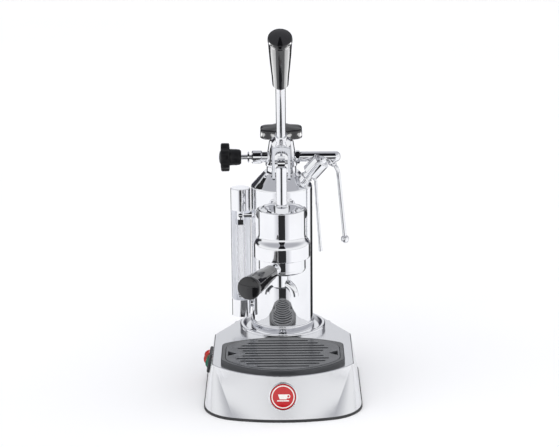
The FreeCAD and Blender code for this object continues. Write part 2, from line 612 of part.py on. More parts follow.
def gauge_glass():
    return tube(5.0, 3.7, 212.0 - 90.0, (GLASS_X, GLASS_Y, 90.0))


def gauge_guard():
    """Chromed guard round the gauge glass, cut open at the front between solid ends."""
    R = GUARD_R
    g = turned([(R - 1.0, GUARD_Z0), (R, GUARD_Z0), (R, GUARD_Z1 - 1.2), (R - 0.4, GUARD_Z1 - 0.3, R - 1.2, GUARD_Z1),
                (0, GUARD_Z1 + 0.5), (0, GUARD_Z1 - 1.6), (R - 1.0, GUARD_Z1 - 1.6)], (GLASS_X, GLASS_Y, 0))
    g = g.cut(block(GLASS_X - 20, GLASS_X + 20, GLASS_Y - 20, GLASS_Y - 1.5, 98.0, 219.5))
    for z in (212.0, 90.0):
        g = g.cut(block(GLASS_X + 2, GLASS_X + 20, GLASS_Y - 5.2, GLASS_Y + 5.2, z - 5.4 if z > 150 else GUARD_Z0 - 2, z + 5.4))
    return g


# ---------------------------------------------------------------- group
def ear_plate(y0, y1):
    p = cyl(16.5, y1 - y0, (0, y0, JOIN_Z), (0, 1, 0))
    for s in (-1, 1):
        p = p.fuse(cyl(7.2, y1 - y0, (s * 25.5, y0, JOIN_Z), (0, 1, 0)))
    p = p.fuse(block(-25.5, 25.5, y0, y1, JOIN_Z - 7.2, JOIN_Z + 7.2))
    for s in (-1, 1):
        p = p.cut(cyl(3.1, 40, (s * 25.5, y0 - 10, JOIN_Z), (0, 1, 0)))
    return p


def boiler_stub():
    """Flanged stub brazed to the boiler wall that carries the group."""
    s = ear_plate(5.0, 11.5).fuse(cyl(15.0, 30.0, (0, 11.0, JOIN_Z), (0, 1, 0)))
    return s.cut(cyl(BOILER_R, 400, (0, BOILER_Y, 0))).cut(cyl(4.0, 60, (0, 0, JOIN_Z), (0, 1, 0)))


def joint_gasket():
    return ear_plate(4.0, 5.0).cut(cyl(4.0, 60, (0, 0, JOIN_Z), (0, 1, 0)))


def group_bolts():
    out = []
    for s in (-1, 1):
        head = cyl(5.2, 5.0, (s * 25.5, -8.0, JOIN_Z), (0, 1, 0)).cut(cyl(2.5, 3.0, (s * 25.5, -8.5, JOIN_Z), (0, 1, 0)))
        out.append(head.fuse(cyl(3.1, 18.0, (s * 25.5, -3.5, JOIN_Z), (0, 1, 0))))
    return Part.makeCompound(out)


def sector(r_out, r_in, z0, h, mid_deg, half_deg):
    c = Part.makeCylinder(r_out, h, V(0, 0, z0), V(0, 0, 1), 2 * half_deg)
    c = c.cut(cyl(r_in, h + 2, (0, 0, z0 - 1)))
    c.rotate(V(0, 0, 0), V(0, 0, 1), mid_deg - half_deg)
    c.translate(V(0, GROUP_Y, 0))
    return c


def lug_angles():
    base = -90.0 - HANDLE_TURN
    return [base + 90.0, base - 90.0]


def group_body():
    """Bell-shaped group: barrel above, wider collar below, with the fulcrum post on top."""
    R, B = GROUP_R, BELL_R
    g = turned([(31.2, GROUP_Z0), (B - 1.0, GROUP_Z0), (B - 0.3, GROUP_Z0 + 0.3, B, GROUP_Z0 + 1.2), (B, BELL_Z),
                (B - 0.78, BELL_Z + 3.76, 0.5 * (B + R), 0.5 * (BELL_Z + BARREL_Z)), (R + 0.78, BARREL_Z - 3.76, R, BARREL_Z),
                (R, GROUP_Z1 - 1.6), (R - 0.5, GROUP_Z1 - 0.4, R - 1.6, GROUP_Z1), (R - 3.2, GROUP_Z1), (R - 3.8, GROUP_Z1 - 1.4),
                (7.3, GROUP_Z1 - 1.4), (7.3, 243.0), (26.0, 243.0), (26.0, 197.5), (31.2, 197.5)], (0, GROUP_Y, 0))
    g = g.cut(tube(33.7, 25.0, 4.4, (0, GROUP_Y, 187.3)))
    for a in lug_angles():
        g = g.cut(sector(33.7, 25.0, GROUP_Z0 - 1, 5.0, a - 45.0, 21.0))
    neck = cyl(13.0, 32.0, (0, -30.0, JOIN_Z), (0, 1, 0)).fuse(ear_plate(-3.0, 4.0))
    neck = neck.cut(cyl(R - 1.0, 200, (0, GROUP_Y, 100)))
    g = g.fuse(neck).cut(cyl(4.0, 60, (0, GROUP_Y + 20, JOIN_Z), (0, 1, 0)))
    post = block(-6.4, 6.4, PIVOT_Y - 6.0, PIVOT_Y + 6.0, GROUP_Z1 - 2.0, PIVOT_Z).fuse(
        cyl(6.0, 12.8, (-6.4, PIVOT_Y, PIVOT_Z), (1, 0, 0)))
    return g.fuse(post).cut(cyl(PIN_R, 40, (-20, PIVOT_Y, PIVOT_Z), (1, 0, 0)))


def cylinder_sleeve():
    return tube(26.0, SLEEVE_R, 243.0 - 199.0, (0, GROUP_Y, 199.0)).cut(
        cyl(3.0, 30, (0, GROUP_Y + 15, JOIN_Z), (0, 1, 0)))


def shower_screen():
    s = cyl(25.9, 1.3, (0, GROUP_Y, 197.6))
    for ring, n in ((7.0, 6), (14.0, 12), (20.5, 18)):
        for k in range(n):
            a = 2 * pi * k / n
            s = s.cut(cyl(1.0, 4, (ring * cos(a), GROUP_Y + ring * sin(a), 196)))
    return s


def group_seal():
    return tube(31.1, 25.0, 197.4 - 193.2, (0, GROUP_Y, 193.2))


PISTON_Z1, PISTON_H = 242.4, 10.0


def piston():
    R, z1 = PISTON_R, PISTON_Z1
    z0 = z1 - PISTON_H
    return turned([(0, z0), (R - 0.6, z0), (R, z0 + 0.6), (R, z0 + 1.6), (21.6, z0 + 1.6), (21.6, z0 + 4.0), (R, z0 + 4.0),
                   (R, z0 + 6.0), (21.6, z0 + 6.0), (21.6, z0 + 8.4), (R, z0 + 8.4), (R, z1), (5.0, z1), (5.0, z0 + 3.0),
                   (0, z0 + 3.0)], (0, GROUP_Y, 0))


def piston_seals():
    z0 = PISTON_Z1 - PISTON_H
    return Part.makeCompound([tube(SLEEVE_R - 0.05, 21.6, 2.4, (0, GROUP_Y, z0 + dz)) for dz in (1.6, 6.0)])


def pin_place():
    a = radians(LEVER_ANGLE)
    return PIVOT_Y - CRANK * cos(a), PIVOT_Z + CRANK * sin(a)


def piston_rod():
    """Rod with a flat slotted head; the slot lets the lever pin swing fore and aft."""
    py, pz = pin_place()
    z0 = PISTON_Z1 - PISTON_H + 3.0
    r = turned([(0, z0), (5.0, z0), (5.0, PISTON_Z1), (ROD_R, PISTON_Z1), (ROD_R, 298.0), (ROD_R - 0.8, 299.0), (0, 299.0)],
               (0, GROUP_Y, 0))
    yf, yb = PIVOT_Y - CRANK, py
    lo, hi = pz - 3.3, pz + 4.9
    zc, h = 0.5 * (lo + hi), 0.5 * (hi - lo)

    def stadium(rad, x0, x1):
        return block(x0, x1, yf, yb, zc - rad, zc + rad).fuse(cyl(rad, x1 - x0, (x0, yf, zc), (1, 0, 0))).fuse(
            cyl(rad, x1 - x0, (x0, yb, zc), (1, 0, 0)))
    head = stadium(h + 2.5, -4.5, 4.5).fuse(block(-4.5, 4.5, GROUP_Y - 5.0, GROUP_Y + 4.6, 296.0, zc - h))
    slot = stadium(h, -6.0, 6.0)
    return r.fuse(head).cut(slot)


def gland_nut():
    h = turned([(ROD_R + 0.06, GROUP_Z1 - 1.4), (9.4, GROUP_Z1 - 1.4), (9.4, GROUP_Z1 + 2.6), (8.6, GROUP_Z1 + 3.8),
                (ROD_R + 0.06, GROUP_Z1 + 3.8)], (0, GROUP_Y, 0))
    return h


def lever_fork():
    """Clevis: two legs astride the piston rod head, joined above by the bridge and collar."""
    legs = block(-FORK_OUT, FORK_OUT, -8.0, 8.0, 0, 66.0).fuse(cyl(8.0, 2 * FORK_OUT, (-FORK_OUT, 0, 0), (1, 0, 0)))
    gap = block(-FORK_IN, FORK_IN, -12, 12, -20, 46.0).fuse(cyl(FORK_IN, 24, (0, -12, 46.0), (0, 1, 0)))
    f = legs.cut(gap)
    taper = turned([(0, 60.0), (13.6, 60.0), (13.6, 64.0), (7.8, 71.0), (7.8, 79.4), (7.2, 80.4), (0, 80.4)])
    f = f.fuse(taper.common(block(-FORK_OUT, FORK_OUT, -8.0, 8.0, 60, 82)))
    f = f.cut(cyl(PIN_R + 0.06, 40, (-20, 0, 0), (1, 0, 0)))
    f = f.cut(cyl(PIN_R, 40, (-20, 0, CRANK), (1, 0, 0)))
    return lever_place(f.cut(cyl(LEVER_ROD_R, 40, (0, 0, 62.0))))


def lever_rod():
    return lever_place(turned([(0, 62.0), (LEVER_ROD_R, 62.0), (LEVER_ROD_R, GRIP_START + 40.0), (0, GRIP_START + 40.0)]))


def lever_grip():
    g = grip(LEVER_ROD_R, 40.0)
    g.translate(V(0, 0, GRIP_START))
    g2 = g.copy()
    m = FreeCAD.Placement(V(0, PIVOT_Y, PIVOT_Z), FreeCAD.Rotation(V(1, 0, 0), 90.0 - LEVER_ANGLE))
    g2.Placement = m.multiply(g.Placement)
    return g2


def cross_pin(y, z):
    """Pin across the fork, held by a circlip groove's worth of head at each end."""
    p = cyl(PIN_R, 2 * FORK_OUT + 0.4, (-FORK_OUT - 0.2, y, z), (1, 0, 0))
    for s in (-1, 1):
        p = p.fuse(cyl(PIN_R + 1.3, 1.0, (s * (FORK_OUT + 0.15), y, z), (s, 0, 0)))
    return p


# ---------------------------------------------------------------- portafilter
def portafilter_body():
    p = turned([(4.2, PF_Z0), (24.0, PF_Z0 - 0.4), (28.4, PF_Z0 + 1.0, PF_R, PF_Z0 + 5.6), (PF_R, PF_Z1), (30.6, PF_Z1 + 0.6),
                (30.6, 193.15), (27.6, 193.15), (27.6, PF_Z0 + 4.0), (4.2, PF_Z0 + 4.0)], (0, GROUP_Y, 0))
    for a in lug_angles():
        p = p.fuse(sector(33.3, 30.0, 187.7, 3.4, a, 18.0))
    along, side = handle_axes()
    at = V(0, GROUP_Y, HANDLE_Z) + along * 24.0
    boss = orient(turned([(0, 0), (8.2, 0), (7.6, 8.4), (0, 8.4)]), tuple(at), tuple(along))
    p = p.fuse(boss.cut(cyl(PF_R - 1.0, 60, (0, GROUP_Y, 150))))
    sx, sy = spout_place()
    return p.cut(cyl(4.2, 12, (sx, sy, PF_Z0 - 4)))


def spout_place():
    a = radians(HANDLE_TURN)
    return -sin(a) * SPOUT_OFF, GROUP_Y - cos(a) * SPOUT_OFF


def filter_basket():
    b = turned([(0, 171.0), (23.5, 171.0), (25.6, 172.0), (26.4, 190.6), (27.5, 190.9), (27.5, 193.1), (26.0, 193.1), (25.0, 172.6),
                (23.4, 171.6), (0, 171.6)], (0, GROUP_Y, 0))
    for ring, n in ((5.0, 6), (10.0, 12), (15.0, 16), (20.0, 20)):
        for k in range(n):
            a = 2 * pi * k / n
            b = b.cut(cyl(0.6, 3, (ring * cos(a), GROUP_Y + ring * sin(a), 170)))
    return b


def spout():
    """Double spout: a central hub and two tapering horns curving down."""
    along, side = handle_axes()
    sx, sy = spout_place()
    h = turned([(4.2, PF_Z0 - 0.4), (SPOUT_R, PF_Z0 - 0.4), (SPOUT_R, SPOUT_Z0 + 3.4), (8.6, SPOUT_Z0 + 0.9, 6.0, SPOUT_Z0),
                (0, SPOUT_Z0), (0, SPOUT_Z0 + 4.0), (4.2, SPOUT_Z0 + 4.0)], (sx, sy, 0))
    for s in (-1, 1):
        def horn(shrink):
            sections = []
            n = 6
            for i in range(n):
                t = i / (n - 1.0)
                a = t * pi / 2
                out = 5.0 + 14.2 * sin(a)
                z = SPOUT_Z0 - 9.6 + 16.0 * cos(a) * (1.0 if i < n - 1 else 0.0)
                r = 6.0 - 1.2 * t - shrink
                c = V(sx, sy, z) + side * (s * out)
                d = V(side.x * s * cos(a), side.y * s * cos(a), -sin(a))
                sections.append(Part.Wire([Part.Circle(c, d, r).toShape()]))
            return Part.makeLoft(sections, True, False)
        h = h.fuse(horn(0.0).cut(cyl(4.2, 30, (sx, sy, 150)))).cut(horn(1.1).cut(cyl(SPOUT_R - 2.0, 60, (sx, sy, 120))))
    return h


def handle_ferrule():
    along, side = handle_axes()
    at = V(0, GROUP_Y, HANDLE_Z) + along * 32.4
    return orient(turned([(0, 0), (7.0, 0), (7.4, 1.0, 7.4, 2.2), (5.9, 8.6), (5.9, 9.6), (5.0, 9.6), (5.0, 44.0), (0, 44.0)]),
                  tuple(at), tuple(along))


def handle_grip():
    along, side = handle_axes()
    at = V(0, GROUP_Y, HANDLE_Z) + along * 42.0
    g = grip(5.0, 34.4)
    return orient(g, tuple(at), tuple(along))


def main():
    save("base_edging", base_edging())
    save("base_shell", base_shell())
    save("base_plate", base_plate())
    save("plate_screws", plate_screws())
    save("drip_tray", drip_tray())
    save("drip_grate", drip_grate())
    bez, disc, inlay = badge_parts()
    save("badge_bezel", bez)
    save("badge_disc", disc)
    save("badge_inlay", inlay)
    save("switch_housing", switch_housing())
    save("rocker_red", rocker(7.4, 3.4, -ROCKER_TIP))
    save("rocker_green", rocker(-7.4, 0.6, -ROCKER_TIP))
    save("cord_gland", cord_gland())
    save("terminal_block", terminal_block())
    save("boiler_shell", boiler_shell().fuse(foot_ring()).removeSplitter())
    save("boiler_flange", boiler_flange())
    save("lock_ring", lock_ring())
    save("heating_element", heating_element())
    save("neck_casting", neck_casting())
    save("cap_knob", cap_knob())
    save("cap_plug", cap_plug())
    save("cap_seal", cap_seal())
    save("steam_knob", steam_knob())
    save("knob_button", knob_button())
    save("valve_stem", valve_stem())
    save("valve_body", valve_body())
    save("pipe_nut", pipe_nut())
    save("steam_pipe", steam_pipe())
    save("steam_wand", steam_wand())
    save("wand_tip", wand_tip())
    save("safety_body", safety_body())
    save("safety_cap", safety_cap())
    save("relief_poppet", relief_poppet())
    save("discharge_tube", discharge_tube())
    save("discharge_tip", discharge_tip())
    save("upper_fitting", gauge_fitting(212.0, True))
    save("lower_fitting", gauge_fitting(90.0, False))
    save("gauge_glass", gauge_glass())
    save("gauge_guard", gauge_guard())
    save("boiler_stub", boiler_stub())
    save("joint_gasket", joint_gasket())
    save("group_bolts", group_bolts())
    save("group_body", group_body())
    save("cylinder_sleeve", cylinder_sleeve())
    save("shower_screen", shower_screen())
    save("group_seal", group_seal())
    save("piston", piston())
    save("piston_seals", piston_seals())
    save("piston_rod", piston_rod())
    save("gland_nut", gland_nut())
    save("lever_fork", lever_fork())
    save("lever_rod", lever_rod())
    save("lever_grip", lever_grip())
    save("fulcrum_pin", cross_pin(PIVOT_Y, PIVOT_Z))
    py, pz = pin_place()
    save("piston_pin", cross_pin(py, pz))
    save("portafilter_body", portafilter_body())
    save("filter_basket", filter_basket())
    save("spout", spout())
    save("handle_ferrule", handle_ferrule())
    save("handle_grip", handle_grip())


main()
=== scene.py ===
# %% [markdown]
# # A manual lever espresso machine
# The solid parts arrive from the CAD model, each in its right place. This notebook gives them
# their finishes, adds the softly rounded mouldings that a turned or milled solid can't show,
# and sets up a small white studio round the machine.

# %% Load the solid parts
import bpy
import numpy as np
from mathutils import Matrix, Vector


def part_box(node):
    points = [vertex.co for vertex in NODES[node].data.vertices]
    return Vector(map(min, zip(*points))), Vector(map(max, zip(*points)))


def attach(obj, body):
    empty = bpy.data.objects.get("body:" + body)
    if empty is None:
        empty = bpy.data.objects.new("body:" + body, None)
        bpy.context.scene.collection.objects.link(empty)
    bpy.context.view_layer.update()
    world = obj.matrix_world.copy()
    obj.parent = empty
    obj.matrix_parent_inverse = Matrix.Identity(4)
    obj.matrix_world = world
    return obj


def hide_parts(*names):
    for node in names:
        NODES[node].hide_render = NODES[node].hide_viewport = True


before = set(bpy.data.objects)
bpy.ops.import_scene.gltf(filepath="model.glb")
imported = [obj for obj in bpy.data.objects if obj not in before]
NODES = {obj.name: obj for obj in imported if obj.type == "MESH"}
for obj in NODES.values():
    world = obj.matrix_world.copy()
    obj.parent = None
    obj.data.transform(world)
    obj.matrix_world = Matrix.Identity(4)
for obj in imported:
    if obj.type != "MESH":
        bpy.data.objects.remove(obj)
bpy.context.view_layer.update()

# %% [markdown]
# ## Camera
# A tall object looks right from far away through a long lens, because its upright lines then stay
# nearly parallel. The camera stands a little over two metres off and looks down by fifteen
# degrees. It looks along its own -Z, so its matrix columns are right, up and backward.

# %% Camera
PITCH, YAW, ROLL = 0.26553, -0.00302, -0.00875          # radians: down, to the side, tilt
CAMERA_PLACE = (0.00379, -2.23911, 0.82401)
SENSOR_WIDTH = 36.0
FOCAL_OVER_WIDTH = 1815.73 / 559.0


def camera_matrix(place, pitch, yaw, roll):
    """Forward from pitch and yaw, right level, up = right x forward, both rolled about forward."""
    forward = np.array([np.sin(yaw) * np.cos(pitch), np.cos(yaw) * np.cos(pitch), -np.sin(pitch)])
    right = np.array([np.cos(yaw), -np.sin(yaw), 0.0])
    up = np.cross(right, forward)
    turned_right = right * np.cos(roll) + up * np.sin(roll)
    turned_up = up * np.cos(roll) - right * np.sin(roll)
    m = np.eye(4)
    m[:3, 0], m[:3, 1], m[:3, 2], m[:3, 3] = turned_right, turned_up, -forward, place
    return Matrix(m.tolist())


lens = bpy.data.cameras.new("long_lens")
lens.sensor_width, lens.lens = SENSOR_WIDTH, SENSOR_WIDTH * FOCAL_OVER_WIDTH
camera = bpy.data.objects.new("camera", lens)
camera.matrix_world = camera_matrix(CAMERA_PLACE, PITCH, YAW, ROLL)
bpy.context.scene.collection.objects.link(camera)
bpy.context.scene.camera = camera
print("lens %.1f mm" % lens.lens)

# %% [markdown]
# ## A wrapper for shader maths
# Node trees written by hand soon become unreadable, so one small class stands for a socket.
# Adding, multiplying or subtracting two of them adds the matching Math node, and every other kind
# of node comes from a single method that takes its type, its settings and what goes into its
# sockets.

# %% Shader wrapper
class Value:
    """One output socket; arithmetic on it adds Math nodes to the same tree."""

    def __init__(self, tree, socket):
        self.tree, self.socket = tree, socket

    def _math(self, operation, *inputs):
        return self.tree.node("ShaderNodeMath", {"operation": operation}, dict(enumerate(inputs)))

    def __add__(self, other):
        return self._math("ADD", self, other)

    def __radd__(self, other):
        return self._math("ADD", other, self)

    def __sub__(self, other):
        return self._math("SUBTRACT", self, other)

    def __rsub__(self, other):
        return self._math("SUBTRACT", other, self)

    def __mul__(self, other):
        return self._math("MULTIPLY", self, other)

    def __rmul__(self, other):
        return self._math("MULTIPLY", other, self)

    def __truediv__(self, other):
        return self._math("DIVIDE", self, other)

    def step(self, low, high):
        """Smooth 0 to 1 as the value goes from low to high."""
        return self.tree.node("ShaderNodeMapRange", {"interpolation_type": "SMOOTHSTEP"},
                              {"Value": self, "From Min": low, "From Max": high})

    def band(self, low, rise, fall, high):
        """Smooth 0 to 1 from low to rise, and back to 0 from fall to high."""
        return self.step(low, rise) * (1.0 - self.step(fall, high))

    def size(self):
        return self._math("ABSOLUTE", self)

    def bearing(self, away):
        """The angle whose tangent is this value over the other, signed, over the whole turn."""
        return self._math("ARCTAN2", self, away)


class Graph:
    """A node tree that is filled by node()."""

    def __init__(self, tree):
        self.tree = tree
        tree.nodes.clear()

    def node(self, kind, settings, sockets, out=0):
        """Adds a node, sets it up, feeds its sockets, and gives the output that is asked for."""
        made = self.tree.nodes.new(kind)
        for key, value in settings.items():
            setattr(made, key, value)
        for key, value in sockets.items():
            self.feed(made.inputs[key], value)
        return Value(self, made.outputs[out]) if made.outputs else made

    def feed(self, socket, value):
        if isinstance(value, Value):
            self.tree.links.new(value.socket, socket)
        else:
            socket.default_value = value

    def colour(self, factor, a, b):
        """Mixes two colours: a where the factor is 0, b where it is 1."""
        return self.node("ShaderNodeMix", {"data_type": "RGBA"}, {0: factor, 6: a, 7: b}, out=2)

    def where(self):
        """The place on the object, in metres, in the same frame as every part."""
        return self.node("ShaderNodeTexCoord", {}, {}, out="Object")

    def split(self, vector):
        """The three parts of a vector."""
        parts = self.node("ShaderNodeSeparateXYZ", {}, {"Vector": vector})
        return [Value(self, socket) for socket in parts.socket.node.outputs]

    def noise(self, scale, detail=3.0, stretch=(1.0, 1.0, 1.0)):
        """Cloudy 0 to 1; a larger stretch along an axis makes the clouds shorter that way."""
        place = self.node("ShaderNodeMapping", {}, {"Vector": self.where(), "Scale": stretch})
        return self.node("ShaderNodeTexNoise", {}, {"Vector": place, "Scale": scale,
                                                    "Detail": detail}, out="Fac")


class Finish(Graph):
    """A material: one Principled shader, whose sockets are fed by name."""

    def __init__(self, name):
        self.material = bpy.data.materials.new(name)
        self.material.use_nodes = True
        super().__init__(self.material.node_tree)
        shader = self.node("ShaderNodeBsdfPrincipled", {}, {})
        self.shader = shader.socket.node
        self.node("ShaderNodeOutputMaterial", {}, {"Surface": shader})

    def set(self, **sockets):
        for key, value in sockets.items():
            self.feed(self.shader.inputs[key.replace("_", " ")], value)
        return self.material

    def bump(self, height, strength, distance):
        self.set(Normal=self.node("ShaderNodeBump", {}, {"Height": height, "Strength": strength,
                                                         "Distance": distance}, out="Normal"))


def rgb(r, g, b):
    return (r, g, b, 1.0)


def scaled(tint, by):
    """A tint made lighter or darker: every part times the same number."""
    return rgb(*[c * by for c in tint])


# %% [markdown]
# ## Floor
# The machine stands on a wide sheet of pale paper. It could be one big square, but a disc has no
# corner that could show in the chrome. It is a polar grid with a fan of triangles in the middle.

# %% Floor
def floor_disc(radius, rings=8, spokes=96):
    """Polar grid: x = r cos a, y = r sin a, z = 0, with r from 0 to the radius."""
    r = np.linspace(0.0, radius, rings + 1)[1:, None]
    a = np.linspace(0.0, 2 * np.pi, spokes, endpoint=False)[None, :]
    ring = np.stack([r * np.cos(a), r * np.sin(a), 0 * r * a], axis=-1).reshape(-1, 3)
    i = np.arange(rings - 1)[:, None] * spokes
    j = np.arange(spokes)[None, :]
    k = (j + 1) % spokes
    quads = np.stack([i + j, i + spokes + j, i + spokes + k, i + k], axis=-1).reshape(-1, 4) + 1
    fan = np.stack([0 * j[0], j[0] + 1, k[0] + 1], axis=-1)
    return np.vstack([[0, 0, 0], ring]), [list(q) for q in quads.tolist()] + fan.tolist()


def new_mesh(name, points, faces, material, smooth=True):
    mesh = bpy.data.meshes.new(name)
    mesh.from_pydata(np.asarray(points).tolist(), [], faces)
    mesh.update()
    mesh.polygons.foreach_set("use_smooth", np.full(len(mesh.polygons), smooth))
    mesh.materials.append(material)
    piece = bpy.data.objects.new(name, mesh)
    bpy.context.scene.collection.objects.link(piece)
    return piece


FLOOR_RADIUS = 9.0
paper = Finish("floor_paper")
cloud = paper.noise(1.5, 2.0).step(0.3, 0.7)
floor = new_mesh("floor", *floor_disc(FLOOR_RADIUS), paper.set(
    Base_Color=paper.colour(cloud, rgb(0.93, 0.93, 0.935), rgb(0.95, 0.95, 0.95)),
    Roughness=0.9, Specular_IOR_Level=0.1))
print("floor faces:", len(floor.data.polygons))

# %% [markdown]
# ## Dark cards
# Polished metal has no look of its own: it shows the room. A white room with one dark slot in
# front, where the camera stands, draws the crisp black line down every upright cylinder, and two
# more slots behind the machine trace its edges. On the floor the slots are flat cards that only
# reflections see. A wider grey card under the front one softens its two long edges.

# %% Dark cards seen only in reflections
HALF_SLOT = np.tan(np.radians(15.5))       # half width over distance, of the black slot in front
HALF_FADE = 0.9                            # and of the grey card under it
NEAR, FAR = -0.19, -3.5                    # both run from the machine towards the camera
EDGE_FROM, EDGE_TO = np.tan(np.radians(8.0)), np.tan(np.radians(44.0))
EDGE_NEAR, EDGE_FAR = 0.19, 3.5            # the slots behind the machine
SIDES = ((-1, "left"), (1, "right"))


def card(name, corners, material, lift=0.0015):
    flat = new_mesh(name, np.array([(x, y, lift) for x, y in corners]), [[0, 1, 2, 3]], material,
                    smooth=False)
    flat.visible_camera = flat.visible_diffuse = False
    flat.visible_shadow = flat.visible_transmission = False


def front_corners(spread):
    """A card in front of the machine, whose half width is spread times the distance."""
    return [(spread * NEAR, NEAR), (-spread * NEAR, NEAR),
            (-spread * FAR, FAR), (spread * FAR, FAR)]


black = Finish("black_velvet").set(Base_Color=rgb(0.004, 0.004, 0.005), Roughness=1.0)
card("slot_card", front_corners(HALF_SLOT), black)

fade = Finish("fade_paper")
right, away, _ = fade.split(fade.where())
aside = right.size() / away.size()
fade.set(Base_Color=fade.colour(aside.step(0.25, 0.85), rgb(0.62, 0.62, 0.64),
                                rgb(0.94, 0.94, 0.945)), Roughness=0.9)
card("fade_card", front_corners(HALF_FADE), fade.material, lift=0.0010)

for side, word in SIDES:
    card("edge_card_" + word, [(0.04 * side, EDGE_NEAR), (0.19 * side, EDGE_NEAR),
                               (3.4 * EDGE_TO * side, EDGE_FAR), (3.4 * EDGE_FROM * side, EDGE_FAR)],
         black)
print("slot half width at one metre: %.3f m" % HALF_SLOT)

# %% [markdown]
# ## The white tent
# The rest of the room is the world's shading. It is worked out from the direction alone: how far
# round it points from straight in front, and how high. Each dark patch is a product of smooth
# steps, laid over the white one after another. The camera itself sees plain white.

# %% World
world = bpy.data.worlds.new("white_tent")
world.use_nodes = True
bpy.context.scene.world = world
sky = Graph(world.node_tree)
right, away, up = sky.split(sky.node("ShaderNodeTexCoord", {}, {}, out="Generated"))
around = right.bearing(-1.0 * away).size()              # 0 in front, pi straight behind
slot = (1.0 - around.step(0.24, 0.29)) * up.step(0.34, 0.42)
edges = around.band(2.30, 2.44, 2.92, 3.00) * (1.0 - up.step(0.2, 0.7))
on_the_left = 1.0 - right.step(-0.05, 0.05)
patch = on_the_left * around.band(1.85, 2.1, 2.5, 2.7) * up.band(0.05, 0.12, 0.3, 0.45)
horizon = up.band(-0.02, 0.0, 0.02, 0.05) * (1.0 - around.step(1.9, 2.2))
wall = sky.colour(around.step(1.9, 2.4), rgb(0.95, 0.955, 0.97), rgb(0.78, 0.79, 0.82))
tent = sky.colour(up.step(0.30, 0.80), wall, rgb(0.46, 0.465, 0.50))
for mask, shade in ((slot, rgb(0.01, 0.01, 0.012)), (edges, rgb(0.05, 0.05, 0.065)),
                    (patch, rgb(0.03, 0.03, 0.035)), (horizon, rgb(0.50, 0.50, 0.52))):
    tent = sky.colour(mask, tent, shade)
seen = sky.node("ShaderNodeLightPath", {}, {}, out="Is Camera Ray")
tent = sky.colour(seen, tent, rgb(1.0, 1.0, 1.0))
backdrop = sky.node("ShaderNodeBackground", {}, {"Color": tent, "Strength": 1.0})
sky.node("ShaderNodeOutputWorld", {}, {"Surface": backdrop})
bpy.context.scene.view_settings.view_transform = "Standard"
print("world nodes:", len(world.node_tree.nodes))

# %% [markdown]
# ## Lamps
# Two very wide suns give the soft light from above; reflections don't see them, so no hot spot
# appears in the chrome. Black gloss needs something bright to mirror, and on chrome the same strips
# would glare. So four strip lamps lie beside the machine, linked to the few black pieces alone.

# %% Lamps
def wide_sun(name, aim, strength, angle):
    """Parallel light along the aim direction, spread over a wide cone so that shadows are soft."""
    data = bpy.data.lights.new(name, "SUN")
    data.energy, data.angle = strength, np.radians(angle)
    lamp = bpy.data.objects.new(name, data)
    back = -np.array(aim, float) / np.linalg.norm(aim)
    side = np.cross((0.0, 1.0, 0.0), back)
    side /= np.linalg.norm(side)
    m = np.eye(4)
    m[:3, 0], m[:3, 1], m[:3, 2] = side, np.cross(back, side), back
    lamp.matrix_world = Matrix(m.tolist())
    lamp.visible_glossy = False
    bpy.context.scene.collection.objects.link(lamp)


def strip_lamp(name, x, y, wide, deep, radiance, seen_by):
    """A lamp lying beside the machine and facing up, mirrored only by the pieces it is linked to.
    Its power is radiance times pi times its area."""
    data = bpy.data.lights.new(name, "AREA")
    data.shape, data.size, data.size_y = "RECTANGLE", wide, deep
    data.energy = radiance * np.pi * wide * deep
    lamp = bpy.data.objects.new(name, data)
    lamp.matrix_world = Matrix(((1, 0, 0, x), (0, -1, 0, y), (0, 0, -1, 0.01), (0, 0, 0, 1)))
    lamp.visible_diffuse = lamp.visible_camera = False
    bpy.context.scene.collection.objects.link(lamp)
    lamp.light_linking.receiver_collection = seen_by


# metres out from the middle, metres back, width, depth, radiance
STRIPS = {"near": (0.40, 0.17, 0.34, 0.62, 3.2), "far": (1.15, 0.05, 0.70, 1.60, 6.5)}
glossy_black = bpy.data.collections.new("glossy_black_pieces")
for side, word in SIDES:
    for reach, (out, back, wide, deep, radiance) in STRIPS.items():
        strip_lamp("strip_%s_%s" % (reach, word), out * side, back, wide, deep, radiance,
                   glossy_black)
wide_sun("key_diffuser", (0.5, 0.35, -1.0), strength=1.12, angle=75.0)
wide_sun("fill_diffuser", (-0.6, 0.1, -1.0), strength=1.02, angle=90.0)
print("lamps:", len(bpy.data.lights))

# %% [markdown]
# ## Polished chrome
# Chrome plate is almost a perfect mirror. What keeps it believable is that it isn't equally clean
# all over: polishing leaves very faint hairlines, and handling leaves soft patches a little less
# sharp.

# %% Chrome
CHROME_TINT = (0.90, 0.905, 0.92)
UPRIGHT, LEVEL = (1.0, 1.0, 12.0), (14.0, 14.0, 1.0)    # which way a noise is squeezed


def hairlines(f, stretch):
    return f.noise(900.0, 2.0, stretch=stretch).step(0.45, 0.8)


def chrome(name, haze, stretch):
    f = Finish(name)
    patches = f.noise(28.0, 4.0).step(0.45, 0.75)
    hairs = hairlines(f, stretch)
    f.bump(hairs, 0.01, 0.0001)
    return f.set(Base_Color=f.colour(patches, rgb(*CHROME_TINT), scaled(CHROME_TINT, 0.965)),
                 Metallic=1.0, Roughness=haze + 0.02 * patches + 0.012 * hairs)


CHROME = chrome("polished_chrome", haze=0.015, stretch=UPRIGHT)
CHROME_ROD = chrome("drawn_chrome", haze=0.03, stretch=LEVEL)
print("chrome nodes:", len(CHROME.node_tree.nodes))

# %% [markdown]
# ## Gauge guard
# The guard round the sight glass is a split tube, polished outside and left dull within. One
# material does both: how far a point lies from the tube's own axis tells the two walls apart. The
# little light that bounces about inside is added as a faint glow on the inner wall.

# %% Gauge guard
WALL_FROM, WALL_TO = 0.0007, 0.0003        # depth under the outer face at which dull turns bright


